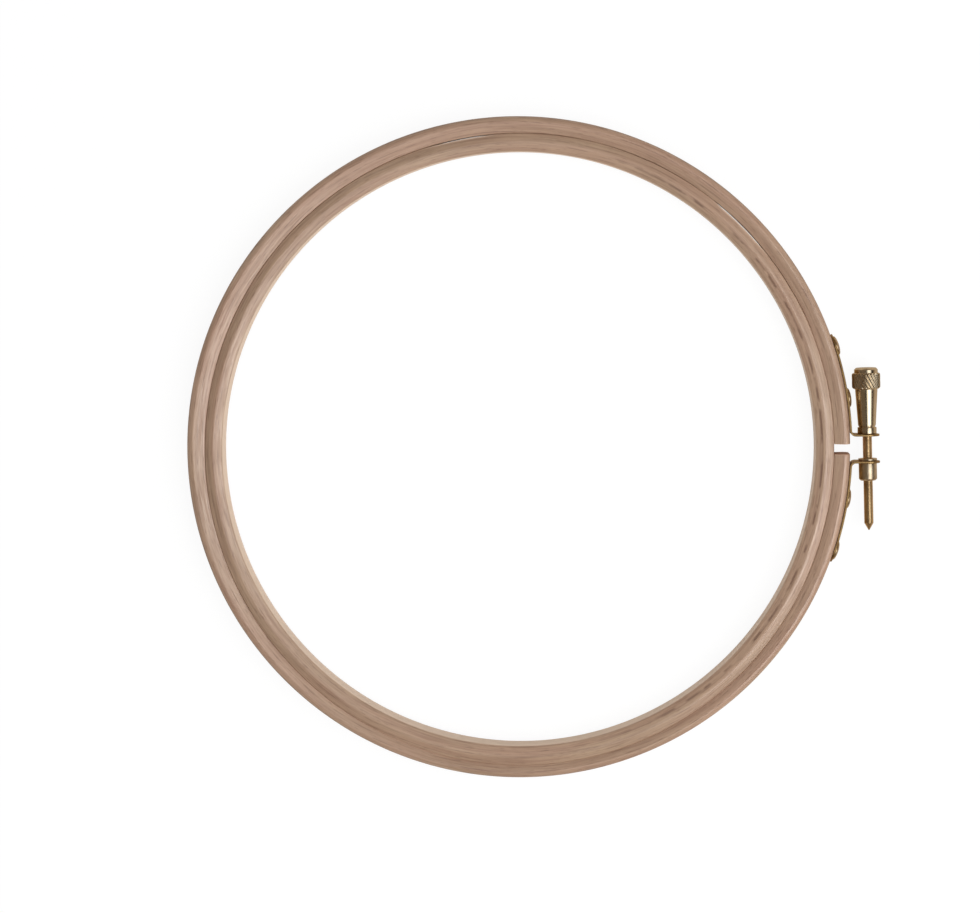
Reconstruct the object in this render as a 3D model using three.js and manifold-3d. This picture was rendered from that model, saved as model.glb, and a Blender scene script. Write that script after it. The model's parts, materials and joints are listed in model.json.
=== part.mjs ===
// Embroidery hoop, 19 cm, of two bent beech rings with brass clamping hardware.
// Millimetres, +Z up. The hoop lies flat on z = 0, its rings turn about Z, and the hardware is at +X.
// The origin is the bottom centre of the whole hoop, so the rings' centre lies a little to -X of it.

import * as THREE from "three";
import { mergeVertices } from "three/addons/utils/BufferGeometryUtils.js";
import Module from "manifold-3d";

// Rings
const outerRingDiameter = 200;
const outerRingWall = 4.8;
const innerRingWall = 5.55;
const ringHeight = 10;
const ringClearance = 0.15; // all round, between the inner ring and the outer ring
const endGap = 3; // between the two ends of the outer ring, under the screw
const flexGap = 0.3; // opposite the ends, where the outer ring bends as it opens
const outerRingEdgeRound = 1.5;
const innerRingClampRound = 2.6; // on the inner ring's edges next to the outer ring
const innerRingWindowRound = 1.5; // on the inner ring's edges round the window
const leastFlat = 0.6; // flat left between the rounds of a ring's face

// Brackets: a strap riveted along the ring, bent outwards at its end into a lug for the screw
const strapThickness = 0.6;
const strapWidth = 7.4;
const bendRadius = 1.2; // inside the bend
const lugGap = 7.5; // clear distance between the two lugs
const seatGap = 0.1; // where metal rests on wood or on metal

// Rivets, two in a row along each strap
const rivetFromBend = 9.75; // along the ring, from the end of the bend to the first rivet
const rivetPitch = 16; // along the ring, from the first rivet to the second
const rivetHeadDiameter = 5.8;
const rivetHeadHeight = 0.85;
const rivetShankDiameter = 2.4;
const holeClearance = 0.2; // round a rivet's shank and tail, and round the bush's neck
const tailDiameter = 4;
const tailThickness = 0.7;
const tailSink = 0.4; // from the ring's inner face down to the tail

// Screw: a turned knob on a threaded rod, both on one axis, which leans from Y towards the ring
const leanDegrees = 1.4;
const lugFlat = 0.8; // on the lug, between the bend and the edge of what is seated round the screw
const rodDiameter = 2.8;
const rodBeyondBush = 15.1; // from the bush's end to the point of the rod
const rodPointLength = 2.2;
const rodPointFlat = 0.3; // diameter left at the very point
const threadPitch = 0.45;
const threadDepth = 0.26;
const socketDepth = 8; // how deep the rod sits in the knob
const socketClearance = 0.1;
const rodClearance = 0.4; // round the rod in the lug and in the bush, so that the lugs can tilt
const collarDiameter = 5.7;
const collarLength = 1.8;
const neckDiameter = 4.9;
const neckLength = 0.4;
const barrelSmallDiameter = 5.3;
const barrelLargeDiameter = 6.75;
const barrelLength = 11.2;
const knurlDiameter = 8.5;
const knurlLength = 4.7;
const knurlDepth = 0.35;
const knurlTeeth = 24;
const knurlHelixDegrees = 30; // the teeth lean to the left going up, seen from outside
const knurlChamfer = 0.45;
const crownDiameter = 7.1;
const crownLength = 1.6;
const crownChamfer = 0.6;

// Bush: threaded barrel swaged into the lower lug
const bushDiameter = 5.45;
const bushLength = 5.3; // beyond the lug
const bushChamfer = 0.5;
const bushNeckDiameter = 4.2; // through the lug
const flangeDiameter = 5.65;
const flangeThickness = 0.5;

// Fineness of the round surfaces
const ringSides = 96;
const roundSteps = 3;
const turnedSides = 28;
const rivetSides = 18;
const holeSides = 16;
const domeSteps = 4;
const arcSteps = 10;
const knurlRows = 3;
const threadSides = 12;

const outerRadius = outerRingDiameter / 2;
const clampRadius = outerRadius - outerRingWall;
const innerRingRadius = clampRadius - ringClearance;
const windowRadius = innerRingRadius - innerRingWall;
const strapInnerRadius = outerRadius + seatGap;
const strapOuterRadius = strapInnerRadius + strapThickness;
const lugInnerY = lugGap / 2;
const lugOuterY = lugInnerY + strapThickness;
const bendY = lugOuterY + bendRadius;
const bendX = Math.sqrt((strapOuterRadius + bendRadius) ** 2 - bendY ** 2);
const bendStart = Math.atan2(bendY, bendX);
const screwX = bendX + lugFlat + Math.max(collarDiameter, flangeDiameter, bushDiameter) / 2;
const lean = THREE.MathUtils.degToRad(leanDegrees);
const lugShift = Math.tan(lean) * (lugInnerY + lugOuterY) / 2; // of the screw's axis, at either lug
const collarSeat = lugOuterY + seatGap + Math.sin(lean) * collarDiameter / 2;
const drumLow = collarSeat + collarLength + neckLength + barrelLength;
const drumEdgeX = screwX - Math.sin(lean) * (drumLow + knurlChamfer) + Math.cos(lean) * knurlDiameter / 2;
const farthestX = Math.max(screwX + lugShift + strapWidth / 2, drumEdgeX);
const widest = Math.max(ringHeight, strapWidth, knurlDiameter);
const nearRivetArc = bendStart * outerRadius + rivetFromBend;
const rivetArcs = { near: nearRivetArc, far: nearRivetArc + rivetPitch };

const wasm = await Module();
wasm.setup();

const beech = (shade) => new THREE.MeshStandardMaterial({ color: shade, roughness: 0.62, metalness: 0 });
const outerBeech = beech("#b59c88");
const innerBeech = beech("#bda392");
const stripBrass = new THREE.MeshStandardMaterial({ color: "#a48a63", roughness: 0.42, metalness: 0.9 });
const turnedBrass = new THREE.MeshStandardMaterial({ color: "#c79f5f", roughness: 0.25, metalness: 1 });

// A closed geometry as a solid that can be joined and cut.
function solidOf(geometry) {
  const loose = geometry.getIndex() ? geometry.toNonIndexed() : geometry;
  const bare = new THREE.BufferGeometry();
  bare.setAttribute("position", loose.getAttribute("position"));
  const merged = mergeVertices(bare, 1e-4);
  return new wasm.Manifold(
    new wasm.Mesh({
      numProp: 3,
      vertProperties: merged.getAttribute("position").array,
      triVerts: new Uint32Array(merged.getIndex().array),
    }),
  );
}

// A solid as a geometry with flat faces.
function geometryOf(solid) {
  const mesh = solid.getMesh();
  const geometry = new THREE.BufferGeometry();
  geometry.setAttribute("position", new THREE.BufferAttribute(mesh.vertProperties, mesh.numProp));
  geometry.setIndex(new THREE.BufferAttribute(mesh.triVerts, 1));
  const flat = geometry.toNonIndexed();
  flat.computeVertexNormals();
  return flat;
}

// A turned shape about Y. The profile holds [radius, y] pairs, anticlockwise in the radius-y plane,
// and starts and ends on the axis, or closes on itself round a bore.
function turned(profile, sides = turnedSides) {
  const points = profile.map(([radius, y]) => new THREE.Vector2(radius, y));
  if (profile[0][0] > 0) points.push(points[0].clone());
  return new THREE.LatheGeometry(points, sides);
}

// A round bar about Y between two heights.
function bar(diameter, low, high, sides = turnedSides) {
  const radius = diameter / 2;
  return turned([[0, low], [radius, low], [radius, high], [0, high]], sides);
}

// A bar that cuts a hole along X.
function holeAlongX(diameter, low, high) {
  return bar(diameter, low, high, holeSides).rotateZ(-Math.PI / 2);
}

// A block given by its lowest and highest corners.
function block(low, high) {
  const size = high.map((value, i) => value - low[i]);
  const middle = high.map((value, i) => (value + low[i]) / 2);
  return new THREE.BoxGeometry(...size).translate(...middle);
}

// Points of a quarter round in a ring's section, from one angle to the next.
function quarterRound(centreRadius, centreZ, round, fromDegrees) {
  return Array.from({ length: roundSteps + 1 }, (_, step) => {
    const angle = THREE.MathUtils.degToRad(fromDegrees + (90 * step) / roundSteps);
    return [centreRadius + round * Math.cos(angle), centreZ + round * Math.sin(angle)];
  });
}

// A full ring about Z, centred on mid-height, with its four edges rounded.
function ring(smallRadius, largeRadius, smallRound, largeRound) {
  const wall = largeRadius - smallRadius;
  const tallest = (ringHeight - leastFlat) / (2 * Math.max(smallRound, largeRound));
  const fit = Math.min(1, (wall - leastFlat) / (smallRound + largeRound), tallest);
  const inside = smallRound * fit;
  const outside = largeRound * fit;
  const top = ringHeight / 2;
  const profile = [
    ...quarterRound(smallRadius + inside, -top + inside, inside, 180),
    ...quarterRound(largeRadius - outside, -top + outside, outside, 270),
    ...quarterRound(largeRadius - outside, top - outside, outside, 0),
    ...quarterRound(smallRadius + inside, top - inside, inside, 90),
  ];
  return turned(profile, ringSides).rotateX(Math.PI / 2);
}

// Moves a geometry made along X from the rings' centre round to a place on the outer ring.
function atArc(geometry, arc) {
  return geometry.rotateZ(arc / outerRadius);
}

// The upper half of the outer ring, from the end gap round to the flexing place opposite.
function outerRingHalf() {
  const beyond = outerRingDiameter;
  const side = new THREE.Shape();
  side.moveTo(-beyond, flexGap / 2);
  side.lineTo(0, flexGap / 2);
  side.lineTo(0, endGap / 2);
  side.lineTo(beyond, endGap / 2);
  side.lineTo(beyond, beyond);
  side.lineTo(-beyond, beyond);
  side.closePath();
  const keep = new THREE.ExtrudeGeometry(side, { depth: 2 * ringHeight, bevelEnabled: false });
  keep.translate(0, 0, -ringHeight);
  const whole = ring(clampRadius, outerRadius, outerRingEdgeRound, outerRingEdgeRound);
  let half = solidOf(whole).intersect(solidOf(keep));
  const counterbore = tailDiameter + 2 * holeClearance;
  const counterboreRadius = clampRadius + tailSink + tailThickness + holeClearance;
  for (const arc of Object.values(rivetArcs)) {
    const hole = holeAlongX(rivetShankDiameter + 2 * holeClearance, clampRadius, outerRadius + 1);
    const sink = holeAlongX(counterbore, clampRadius - 1, counterboreRadius);
    half = half.subtract(solidOf(atArc(hole, arc))).subtract(solidOf(atArc(sink, arc)));
  }
  return geometryOf(half);
}

// The inner ring, whole, which the outer ring is drawn tight on.
function innerRing() {
  return ring(windowRadius, innerRingRadius, innerRingWindowRound, innerRingClampRound);
}

// What is cut from a flat end to leave a full round about the line of a hole along Y, beyond it in X.
function endCorners(x, lowY, highY) {
  const reach = strapWidth;
  const square = block([x, lowY, -reach], [x + reach, highY, reach]);
  const round = bar(strapWidth, lowY - 1, highY + 1).translate(x, 0, 0);
  return solidOf(square).subtract(solidOf(round));
}

// The upper bracket, from its round end at the far rivet, along the ring and out into the lug.
function bracket(screwHoleX, screwHoleDiameter) {
  const strapEnd = (rivetArcs.far + strapWidth / 2) / outerRadius;
  const lugEnd = screwHoleX + strapWidth / 2;
  const side = new THREE.Shape();
  side.absarc(0, 0, strapOuterRadius, strapEnd, bendStart, true);
  side.absarc(bendX, bendY, bendRadius, Math.PI + bendStart, 1.5 * Math.PI, false);
  side.lineTo(lugEnd, lugOuterY);
  side.lineTo(lugEnd, lugInnerY);
  side.absarc(bendX, bendY, bendRadius + strapThickness, 1.5 * Math.PI, Math.PI + bendStart, true);
  side.absarc(0, 0, strapInnerRadius, bendStart, strapEnd, false);
  const plate = new THREE.ExtrudeGeometry(side, {
    depth: strapWidth,
    bevelEnabled: false,
    curveSegments: arcSteps,
  });
  plate.translate(0, 0, -strapWidth / 2);
  let solid = solidOf(plate);
  solid = solid.subtract(endCorners(screwHoleX, lugInnerY - 1, lugOuterY + 1));
  const strapCorners = geometryOf(endCorners(0, -strapThickness - 1, strapThickness + 1));
  strapCorners.rotateZ(Math.PI / 2).translate(strapInnerRadius, 0, 0);
  solid = solid.subtract(solidOf(atArc(strapCorners, rivetArcs.far)));
  for (const arc of Object.values(rivetArcs)) {
    const hole = holeAlongX(rivetShankDiameter + 2 * holeClearance, outerRadius - 1, strapOuterRadius + 1);
    solid = solid.subtract(solidOf(atArc(hole, arc)));
  }
  const screwHole = bar(screwHoleDiameter, lugInnerY - 1, lugOuterY + 1, holeSides);
  return geometryOf(solid.subtract(solidOf(screwHole.translate(screwHoleX, 0, 0))));
}

// A rivet along X from the rings' centre: sunk tail, shank through ring and strap, domed head.
function rivet() {
  const tailLow = clampRadius + tailSink;
  const tailHigh = tailLow + tailThickness;
  const seat = strapOuterRadius + seatGap;
  const head = rivetHeadDiameter / 2;
  const shank = rivetShankDiameter / 2;
  const tail = tailDiameter / 2;
  const dome = Array.from({ length: domeSteps + 1 }, (_, step) => {
    const angle = (Math.PI / 2) * (step / domeSteps);
    return [head * Math.cos(angle), seat + rivetHeadHeight * Math.sin(angle)];
  });
  dome[domeSteps][0] = 0;
  const profile = [[0, tailLow], [tail, tailLow], [tail, tailHigh], [shank, tailHigh], [shank, seat], ...dome];
  return turned(profile, rivetSides).rotateZ(-Math.PI / 2);
}

// The knurled drum: a toothed outline carried up its axis with a steady twist, chamfered at both ends.
function knurledDrum(low) {
  const tip = knurlDiameter / 2;
  const corners = 4 * knurlTeeth;
  const outline = Array.from({ length: corners }, (_, corner) => {
    const angle = (2 * Math.PI * corner) / corners;
    const radius = corner % 4 < 2 ? tip : tip - knurlDepth;
    return new THREE.Vector2(radius * Math.cos(angle), radius * Math.sin(angle));
  });
  const drum = new THREE.ExtrudeGeometry(new THREE.Shape(outline), {
    depth: knurlLength,
    steps: knurlRows + 2,
    bevelEnabled: false,
  });
  const twistPerMm = -Math.tan(THREE.MathUtils.degToRad(knurlHelixDegrees)) / tip;
  const places = drum.getAttribute("position");
  for (let i = 0; i < places.count; i++) {
    const row = Math.round((places.getZ(i) / knurlLength) * (knurlRows + 2));
    const atEnd = row === 0 || row === knurlRows + 2;
    const inner = THREE.MathUtils.clamp((row - 1) / knurlRows, 0, 1);
    const height = knurlChamfer + inner * (knurlLength - 2 * knurlChamfer);
    const z = atEnd ? places.getZ(i) : height;
    const shrink = atEnd ? 1 - knurlChamfer / tip : 1;
    const x = places.getX(i) * shrink;
    const y = places.getY(i) * shrink;
    const turn = twistPerMm * z;
    places.setXYZ(i, x * Math.cos(turn) - y * Math.sin(turn), x * Math.sin(turn) + y * Math.cos(turn), z);
  }
  return solidOf(drum.rotateX(-Math.PI / 2).translate(0, low, 0));
}

// The knob about Y, seated on the upper lug: collar, neck, tapered barrel, knurled drum and crown.
function knob() {
  const collarTop = collarSeat + collarLength;
  const neckTop = collarTop + neckLength;
  const drumTop = drumLow + knurlLength;
  const top = drumTop + crownLength;
  const overlap = 0.5;
  const lower = turned([
    [0, collarSeat],
    [collarDiameter / 2, collarSeat],
    [collarDiameter / 2, collarTop],
    [neckDiameter / 2, collarTop],
    [neckDiameter / 2, neckTop],
    [barrelSmallDiameter / 2, neckTop],
    [barrelLargeDiameter / 2, drumLow],
    [barrelLargeDiameter / 2, drumLow + overlap],
    [0, drumLow + overlap],
  ]);
  const crown = turned([
    [0, drumTop - overlap],
    [crownDiameter / 2, drumTop - overlap],
    [crownDiameter / 2, top - crownChamfer],
    [crownDiameter / 2 - crownChamfer, top],
    [0, top],
  ]);
  const socketTop = collarSeat + socketDepth + socketClearance;
  const socket = bar(rodDiameter + 2 * socketClearance, collarSeat - 1, socketTop);
  const whole = solidOf(lower).add(knurledDrum(drumLow)).add(solidOf(crown));
  return geometryOf(whole.subtract(solidOf(socket)));
}

// A screw thread about Y as one closed body. A crest line and a root line climb side by side, half a
// pitch apart, and strips join each to the next; a fan closes either end.
function thread(low, high) {
  const steps = threadSides * Math.max(2, Math.floor((high - low) / threadPitch - 0.5));
  const line = (radius, lead) =>
    Array.from({ length: steps + 1 }, (_, step) => {
      const angle = (2 * Math.PI * step) / threadSides;
      const y = low + threadPitch * (step / threadSides + lead);
      return new THREE.Vector3(radius * Math.cos(angle), y, -radius * Math.sin(angle));
    });
  const crest = line(rodDiameter / 2, 0);
  const root = line(rodDiameter / 2 - threadDepth, 0.5);
  const corners = [];
  const strip = (lower, upper) => {
    for (let i = 0; i + 1 < Math.min(lower.length, upper.length); i++) {
      corners.push(lower[i], lower[i + 1], upper[i + 1], lower[i], upper[i + 1], upper[i]);
    }
  };
  const fan = (centre, rim) => rim.forEach((place, i) => corners.push(centre, rim[(i + 1) % rim.length], place));
  strip(crest, root);
  strip(root, crest.slice(threadSides));
  fan(new THREE.Vector3(0, low, 0), [...crest.slice(0, threadSides + 1), root[0]]);
  const lastTurn = root.slice(steps - threadSides).reverse();
  fan(new THREE.Vector3(0, root[steps].y, 0), [...lastTurn, crest[steps]]);
  const geometry = new THREE.BufferGeometry();
  geometry.setAttribute("position", new THREE.Float32BufferAttribute(corners.flatMap((c) => c.toArray()), 3));
  return geometry;
}

// The rod about Y, from its plain end in the knob down its thread to its point.
function rod() {
  const radius = rodDiameter / 2;
  const point = -(lugOuterY + bushLength + rodBeyondBush);
  const threadLow = point + rodPointLength;
  const core = turned([
    [0, point],
    [rodPointFlat / 2, point],
    [radius, threadLow],
    [radius - threadDepth, threadLow + threadDepth],
    [radius - threadDepth, collarSeat],
    [radius, collarSeat + threadDepth],
    [radius, collarSeat + socketDepth],
    [0, collarSeat + socketDepth],
  ], threadSides * 2);
  const screwThread = thread(threadLow - threadPitch / 4, collarSeat + threadDepth);
  return geometryOf(solidOf(core).add(solidOf(screwThread)));
}

// The bush about Y as it would sit in the upper lug: flange inside, neck through the lug, body outside.
function bush() {
  const bore = rodDiameter / 2 + rodClearance;
  const flange = flangeDiameter / 2;
  const neck = bushNeckDiameter / 2;
  const body = bushDiameter / 2;
  const flangeTop = lugInnerY - seatGap - Math.sin(lean) * flange;
  const bodyLow = lugOuterY + seatGap + Math.sin(lean) * body;
  const bodyTop = lugOuterY + bushLength;
  return turned([
    [bore, flangeTop - flangeThickness],
    [flange, flangeTop - flangeThickness],
    [flange, flangeTop],
    [neck, flangeTop],
    [neck, bodyLow],
    [body, bodyLow],
    [body, bodyTop - bushChamfer],
    [body - bushChamfer, bodyTop],
    [bore, bodyTop],
  ]);
}

function piece(name, geometry, material) {
  const mesh = new THREE.Mesh(geometry, material);
  mesh.name = name;
  return mesh;
}

// One side of the outer ring with its bracket and rivets. The lower side is the upper one turned over.
function ringSide(side, half, strap) {
  const group = new THREE.Group();
  group.add(piece(`outer_ring_${side}`, half, outerBeech));
  group.add(piece(`${side}_bracket`, strap, stripBrass));
  for (const [place, arc] of Object.entries(rivetArcs)) {
    const mesh = piece(`${side}_${place}_rivet`, rivet(), turnedBrass);
    mesh.rotation.z = arc / outerRadius;
    group.add(mesh);
  }
  return group;
}

const hoop = new THREE.Group();
hoop.position.set((outerRadius - farthestX) / 2, 0, widest / 2);

const half = outerRingHalf();
const upperBracket = bracket(screwX - lugShift, rodDiameter + 2 * rodClearance);
const lowerBracket = bracket(screwX + lugShift, bushNeckDiameter + 2 * holeClearance);
const upperSide = ringSide("upper", half, upperBracket);
const lowerSide = ringSide("lower", half, lowerBracket);
lowerSide.rotation.x = Math.PI;
hoop.add(upperSide, lowerSide);

const innerRingMesh = piece("inner_ring", innerRing(), innerBeech);
hoop.add(innerRingMesh);

const screw = new THREE.Group();
screw.position.x = screwX;
screw.rotation.z = lean;
screw.add(piece("knob", knob(), turnedBrass), piece("screw_rod", rod(), turnedBrass));
hoop.add(screw);

const bushMesh = piece("threaded_bush", bush(), turnedBrass);
bushMesh.position.x = screwX;
bushMesh.rotation.z = -lean;
lowerSide.add(bushMesh);

const part = new THREE.Group();
part.add(hoop);

export default part;
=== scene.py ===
"""Wooden embroidery hoop with a brass clamping screw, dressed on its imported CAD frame.

Metres, +Z up. The rings' axis is Z through RING_CENTRE, and the screw's is ALONG_SCREW through
SCREW. Shapes are worked out in millimetres from the CAD's joints and boxes and scaled by MM.
"""

import json
import math

import bmesh
import bpy
import numpy as np
from bpy.props import FloatProperty, FloatVectorProperty, IntProperty, PointerProperty
from mathutils import Matrix, Vector


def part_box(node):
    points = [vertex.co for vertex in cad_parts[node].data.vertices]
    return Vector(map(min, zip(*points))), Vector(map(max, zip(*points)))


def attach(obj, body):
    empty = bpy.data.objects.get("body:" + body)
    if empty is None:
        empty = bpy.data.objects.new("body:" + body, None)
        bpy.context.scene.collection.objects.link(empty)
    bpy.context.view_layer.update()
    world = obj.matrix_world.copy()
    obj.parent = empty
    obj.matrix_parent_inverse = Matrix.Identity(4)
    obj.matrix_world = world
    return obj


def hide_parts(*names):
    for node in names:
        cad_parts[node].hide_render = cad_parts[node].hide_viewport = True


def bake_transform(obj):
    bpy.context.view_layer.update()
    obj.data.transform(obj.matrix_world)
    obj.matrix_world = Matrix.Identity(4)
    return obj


bl_info = {
    "name": "Embroidery Hoop",
    "version": (1, 0, 0),
    "blender": (4, 5, 0),
    "location": "3D View > Sidebar > Hoop",
    "description": "Beech rings and brass clamping hardware of an embroidery hoop",
    "category": "Add Mesh",
}

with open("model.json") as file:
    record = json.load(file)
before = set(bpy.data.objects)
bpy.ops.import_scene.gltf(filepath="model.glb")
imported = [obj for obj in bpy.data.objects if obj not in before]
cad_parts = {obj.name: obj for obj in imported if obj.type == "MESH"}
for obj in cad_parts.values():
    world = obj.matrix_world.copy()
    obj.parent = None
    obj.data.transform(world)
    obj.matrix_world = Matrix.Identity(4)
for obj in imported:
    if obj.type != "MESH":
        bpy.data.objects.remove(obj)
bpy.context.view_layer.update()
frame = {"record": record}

MM = 0.001
TURN = 2 * math.pi
UP = np.array([0.0, 0.0, 1.0])


def node_box(node):
    """Lowest and highest corner of a CAD node in millimetres."""
    low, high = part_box(node)
    return np.array(low) / MM, np.array(high) / MM


inner_low, inner_high = node_box("inner_ring")
RING_CENTRE = (inner_low + inner_high) / 2
INNER_OUTSIDE = (inner_high[0] - inner_low[0]) / 2
RING_HEIGHT = inner_high[2] - inner_low[2]
OUTER_OUTSIDE = node_box("outer_ring_upper")[1][1]
RING_CLEARANCE = 0.15
OUTER_WALL = OUTER_OUTSIDE - INNER_OUTSIDE - RING_CLEARANCE
INNER_WALL = 5.55
END_GAP = 3.0
STRAP_SEAT = 0.1
strap_low, strap_high = node_box("upper_bracket")
LUG_INNER = strap_low[1]
STRAP_HALF_WIDTH = (strap_high[2] - strap_low[2]) / 2
NEAR_RIVET = 15.2 / OUTER_OUTSIDE
FAR_RIVET = 31.2 / OUTER_OUTSIDE
RIVETS = {
    "upper_near_rivet": NEAR_RIVET,
    "upper_far_rivet": FAR_RIVET,
    "lower_near_rivet": -NEAR_RIVET,
    "lower_far_rivet": -FAR_RIVET,
}
screw_joint = next(j for j in frame["record"]["behaviour"]["joints"] if j["name"] == "screw_turn")
SCREW = np.array(screw_joint["pos_m"]) / MM
ALONG_SCREW = np.array(screw_joint["axis"]) / np.linalg.norm(screw_joint["axis"])
rod_low, rod_high = node_box("screw_rod")
ROD_RADIUS = (rod_high[2] - rod_low[2]) / 2
ROD_POINT = rod_low[1] / ALONG_SCREW[1]
ROD_TOP = rod_high[1] / ALONG_SCREW[1]
ROD_CLEARANCE = 0.4
ROD_IN_KNOB = 8.0
COLLAR_SEAT = ROD_TOP - ROD_IN_KNOB
knob_low, knob_high = node_box("knob")
KNOB_RADIUS = (knob_high[2] - knob_low[2]) / 2
BUSH_END = node_box("threaded_bush")[0][1]


def linear(shade):
    """An sRGB hex colour as linear red, green and blue."""
    parts = [int(shade[i : i + 2], 16) / 255 for i in (1, 3, 5)]
    return tuple(c / 12.92 if c <= 0.04045 else ((c + 0.055) / 1.055) ** 2.4 for c in parts)


def length(name, description, millimetres):
    """A length property whose default is given in millimetres."""
    return FloatProperty(
        name=name,
        description=description,
        default=millimetres * MM,
        min=0.0,
        precision=5,
        unit="LENGTH",
    )


def shade(name, description, colour):
    """A colour property whose default is given as an sRGB hex colour."""
    return FloatVectorProperty(
        name=name,
        description=description,
        default=linear(colour),
        min=0.0,
        max=1.0,
        subtype="COLOR",
    )


class HoopWood(bpy.types.PropertyGroup):
    """Sizes and colours of the two beech rings."""

    outer_width: length("Outer edge, width", "From the outside to the outer ring's crest", 1.7)
    outer_drop: length("Outer edge, drop", "Fall of the slope from the crest to the outside", 0.78)
    outer_round: length("Outer edge, round", "Quarter round below the outer slope", 1.0)
    join_drop: length("Join edge, drop", "Fall of the slope from the crest to the join", 1.0)
    join_round: length("Join edges, round", "Quarter rounds of both rings at the join", 0.15)
    clamp_width: length("Clamping edge, width", "From the join to the inner ring's crest", 2.35)
    clamp_drop: length("Clamping edge, drop", "Fall of the slope from the crest to the join", 0.84)
    window_drop: length("Window edge, drop", "Fall of the slope from the crest to the window", 0.88)
    window_round: length("Window edge, round", "Quarter round between the slope and the wall", 0.5)
    end_round: length("Sawn ends", "Rounding of the outer ring's two sawn ends", 0.2)
    clinch_depth: length("Clinch depth", "Depth that the rivet tails are sunk into the wood", 1.25)
    outer_pale: shade("Outer, pale wood", "Pale early wood of the outer ring", "#ba9c82")
    outer_dark: shade("Outer, dark wood", "Dark late wood of the outer ring", "#916f58")
    inner_pale: shade("Inner, pale wood", "Pale early wood of the inner ring", "#b89b80")
    inner_dark: shade("Inner, dark wood", "Dark late wood of the inner ring", "#8c6c54")
    rosy: shade("Rosy wood", "Pinkish patches in both rings", "#b0836e")
    fleck: shade("Ray flecks", "Short dark flecks of the rays", "#6f4f3c")
    # painted light: this pale colour is mixed into the wall round the window and the join edge, for
    # light that falls on them and leaks through there
    bare: shade("Painted wall light", "Paler wood on the wall round the window", "#e3cbb4")
    # partly painted light: end grain, made paler to make up for the shade on the sawn end that faces
    # away from the softbox
    lit_end_grain: shade("End grain", "Sawn ends of the outer ring", "#cda486")


class HoopBrass(bpy.types.PropertyGroup):
    """Sizes and colours of the brass hardware."""

    sheet: length("Strap thickness", "Thickness of the brass strip", 0.6)
    bend: length("Bend", "Inside radius of the bend between strap and lug", 1.2)
    edge: length("Sheet edge", "Rounding of the strip's cut edges", 0.1)
    pitch: length("Thread pitch", "Distance from one thread to the next", 0.45)
    thread_depth: length("Thread depth", "Depth of the thread", 0.045)
    knurl_depth: length("Knurl depth", "Depth of the grooves of the knurled drum", 0.35)
    knurl_teeth: IntProperty(
        name="Knurl teeth",
        description="Number of teeth round the knurled drum",
        default=24,
        min=8,
    )
    knurl_lean: FloatProperty(
        name="Knurl lean",
        description="Lean of the teeth to the left going up, seen from outside",
        default=math.radians(30),
        subtype="ANGLE",
    )
    turned: shade("Turned brass", "Knob and bush", "#e4d3b6")
    # partly tarnish and partly painted shade: the rod's deeper yellow stands in for the shade and
    # brass-on-brass reflections in deep thread grooves, which the shallow modelled thread hardly casts
    threaded: shade("Threaded brass", "Rod, which has darkened between its threads", "#e8c796")
    strip: shade("Strip brass", "Straps", "#bd9d6b")
    rivet: shade("Rivet brass", "Rivet heads", "#dcc3a0")
    tarnish: shade("Tarnish", "Brown film in grooves and corners", "#8d6a48")


class HoopStage(bpy.types.PropertyGroup):
    """Camera, lights and floor."""

    camera_east: length("Camera, along X", "Distance of the camera from the rings' centre", 35)
    camera_north: length("Camera, along Y", "Distance of the camera from the rings' centre", 76)
    camera_height: length("Camera height", "Height of the camera above the floor", 930)
    fill: FloatProperty(
        name="Fill",
        description="Brightness of the room for matt surfaces, where 1 lights a colour as written",
        default=0.5,
        min=0.0,
    )
    key: FloatProperty(
        name="Softbox",
        description="Power of the softbox",
        default=10.7,
        min=0.0,
        subtype="POWER",
    )
    gleam: FloatProperty(
        name="Gleam",
        description="Brightness of the softbox's middle in reflections, where 1 is white",
        default=2.9,
        min=0.0,
    )


def quads(rows, columns, wrap_rows=False, wrap_columns=True):
    """Corner numbers of the quads of a grid of vertices, wrapped round where asked.

    Each quad goes along its columns and then up its rows, so it faces columns x rows.
    """
    i, j = np.meshgrid(
        np.arange(rows if wrap_rows else rows - 1),
        np.arange(columns if wrap_columns else columns - 1),
        indexing="ij",
    )
    up = (i + 1) % rows
    right = (j + 1) % columns
    corners = [i * columns + j, i * columns + right, up * columns + right, up * columns + j]
    return np.stack(corners, -1).reshape(-1, 4)


def closed_surface(grid, hubs=None):
    """Vertices and faces of a grid of places whose columns wrap round.

    The rows wrap round too, or with hubs, the places at the middle of both ends, a fan of triangles
    joins each end's row to its hub.
    """
    rows, columns = grid.shape[:2]
    faces = quads(rows, columns, wrap_rows=hubs is None).tolist()
    places = grid.reshape(-1, 3)
    if hubs is not None:
        rim = np.arange(columns)
        first = np.stack([np.full(columns, len(places)), np.roll(rim, -1), rim], -1)
        rim = rim + (rows - 1) * columns
        last = np.stack([np.full(columns, len(places) + 1), rim, np.roll(rim, -1)], -1)
        places = np.concatenate([places, hubs])
        faces += first.tolist() + last.tolist()
    return places, faces


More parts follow.
